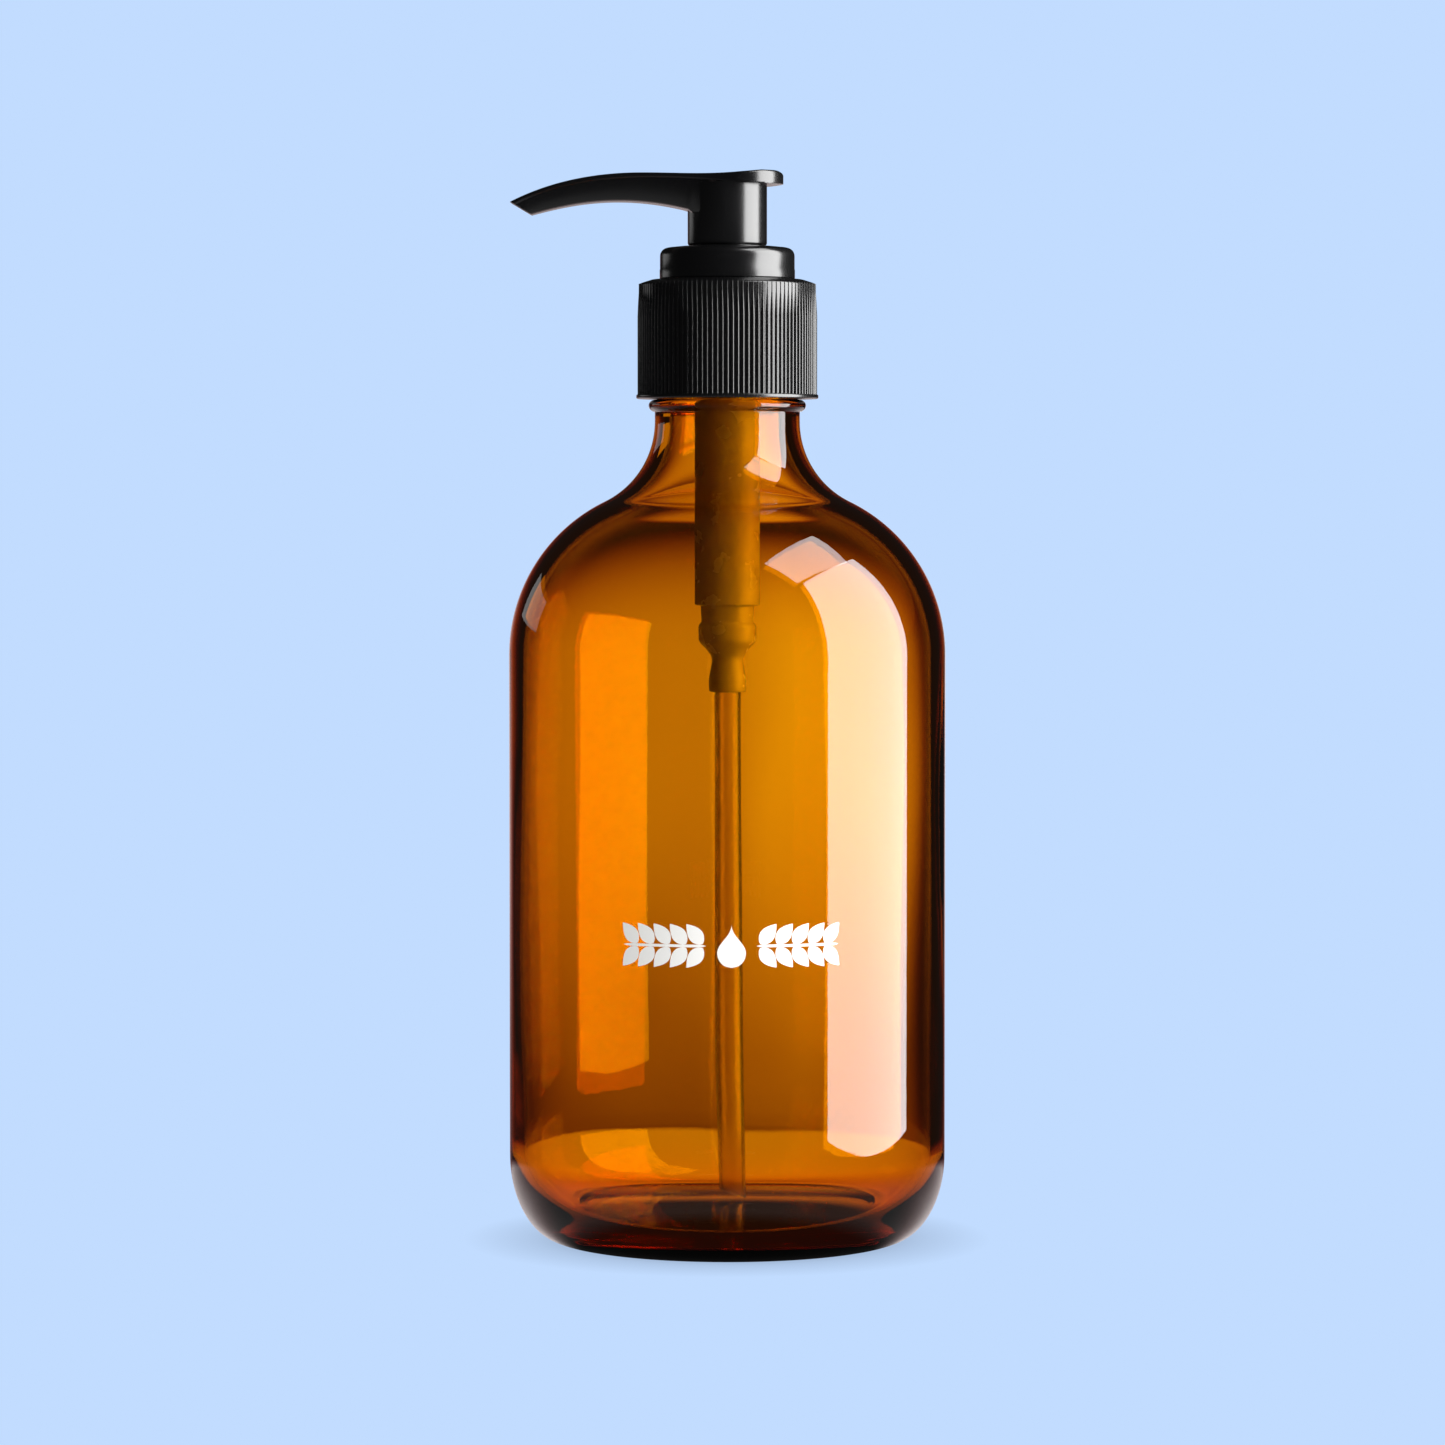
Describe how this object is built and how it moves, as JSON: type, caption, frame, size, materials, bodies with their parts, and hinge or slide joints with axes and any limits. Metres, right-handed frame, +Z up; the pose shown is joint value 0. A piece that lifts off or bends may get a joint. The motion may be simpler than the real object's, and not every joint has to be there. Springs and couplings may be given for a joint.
{
  "type": "pump oil bottle",
  "caption": "Round amber glass bottle with a domed shoulder, closed by a ribbed screw-on pump with a curved spout that dispenses massage oil.",
  "frame": {"origin": "middle of the foot, on the surface that the bottle stands on", "axes": "+Z up along the bottle's axis, spout along -X, head screwed down on its collar"},
  "size_m": [0.079, 0.079, 0.1932],
  "materials": {
    "amber_glass": "fire-polished amber soda-lime glass, clear, with faint ripples",
    "white_ink": "white printed ink, satin",
    "black_plastic": "moulded black polypropylene, semi-gloss",
    "natural_plastic": "moulded natural polypropylene, translucent",
    "clear_tube": "extruded natural polyethylene, translucent",
    "foam_gasket": "closed-cell white foam, matte",
    "piston_plastic": "moulded white polyethylene, matte",
    "spring_steel": "drawn stainless steel wire",
    "ball_steel": "ground stainless steel, bright"
  },
  "bodies": {
    "bottle": {"bottle": "amber_glass"},
    "pump": {"housing": "natural_plastic", "lock_collar": "black_plastic", "gasket": "foam_gasket", "dip_tube": "clear_tube", "spring": "spring_steel"},
    "closure": {"closure": "black_plastic"},
    "plunger": {"lower_stem": "natural_plastic"},
    "piston": {"piston": "piston_plastic"},
    "head": {"upper_stem": "natural_plastic", "pump_head": "black_plastic"},
    "inlet_ball": {"inlet_ball": "ball_steel"}
  },
  "joints": [
    {"name": "pump_lift", "type": "slide", "parent": "bottle", "child": "pump", "axis": [0, 0, 1], "range_m": [0, 0.00635]},
    {"name": "closure_turn", "type": "hinge", "parent": "pump", "child": "closure", "pos_m": [0, 0, 0.163], "axis": [0, 0, 1], "range_deg": [0, 540]},
    {"name": "head_stroke", "type": "slide", "parent": "pump", "child": "plunger", "axis": [0, 0, 1], "range_m": [0, 0.018], "stiffness_N_per_m": 875, "springref_m": 0.0237, "deforming": ["spring"]},
    {"name": "head_turn", "type": "hinge", "parent": "plunger", "child": "head", "pos_m": [0, 0, 0.1454], "axis": [0, 0, 1], "continuous": true},
    {"name": "piston_slip", "type": "slide", "parent": "plunger", "child": "piston", "axis": [0, 0, 1], "range_m": [0, 0.001]},
    {"name": "ball_lift", "type": "slide", "parent": "pump", "child": "inlet_ball", "axis": [0, 0, 1], "range_m": [0, 0.0012]}
  ],
  "couplings": [
    {"joint": "closure_turn", "follows": "pump_lift", "rad_per_m": 1484.2}
  ]
}
